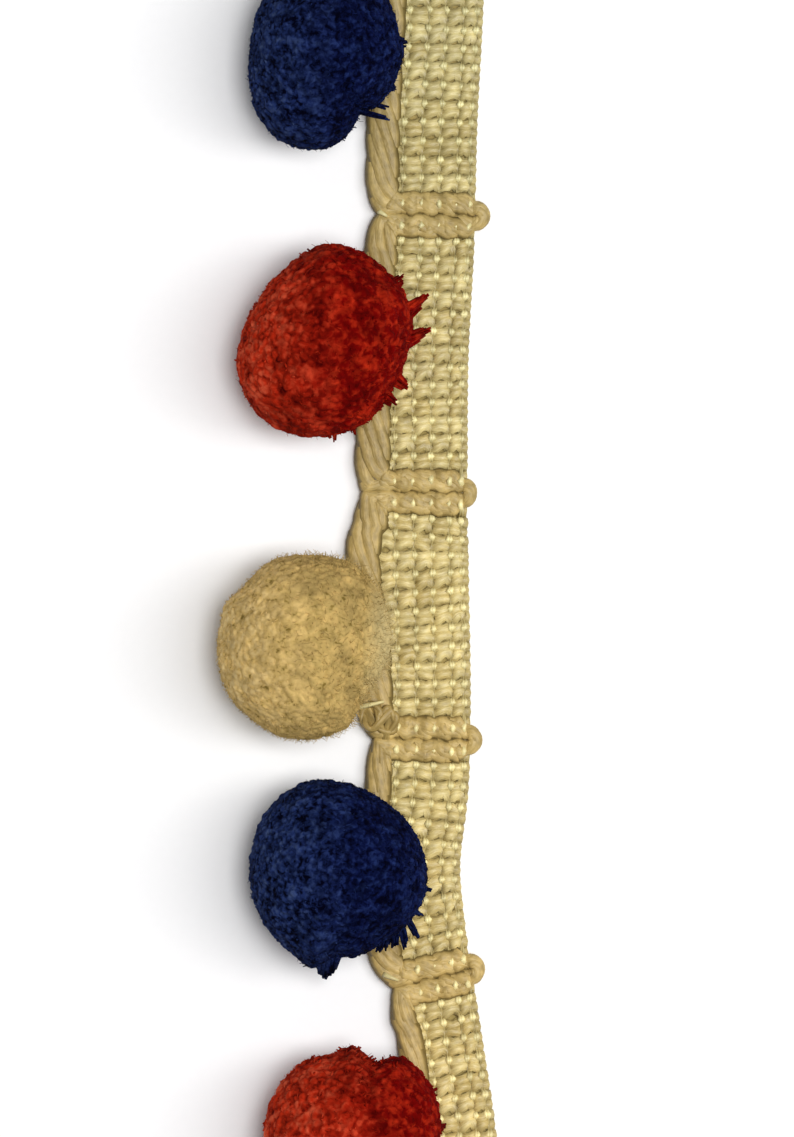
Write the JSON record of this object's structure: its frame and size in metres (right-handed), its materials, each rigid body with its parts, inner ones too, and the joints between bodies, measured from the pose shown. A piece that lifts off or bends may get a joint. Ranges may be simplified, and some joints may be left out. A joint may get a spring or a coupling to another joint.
{
  "type": "pompom fringe trim",
  "caption": "Cut length of woven trim with a scalloped edge cord and cut yarn pompoms tied along one side, lying flat on its back.",
  "frame": {"origin": "on the heading's flat back, in the middle of its length and width", "axes": "X across the trim with the pompoms at -X, Y along it, +Z away from the surface it lies on"},
  "size_m": [0.0387, 0.1785, 0.0229],
  "materials": {
    "heading_thread": "satin thread, woven in ribs",
    "cord_thread": "satin thread, softly twisted",
    "navy_wool": "cut wool pile",
    "rust_wool": "cut wool pile",
    "gold_wool": "fuzzy cut wool pile"
  },
  "bodies": {
    "root": {"heading_tape": "heading_thread", "edge_cord": "cord_thread", "pompom_navy_1": "navy_wool", "pompom_rust_1": "rust_wool", "pompom_gold": "gold_wool", "pompom_navy_2": "navy_wool", "pompom_rust_2": "rust_wool"}
  },
  "joints": []
}
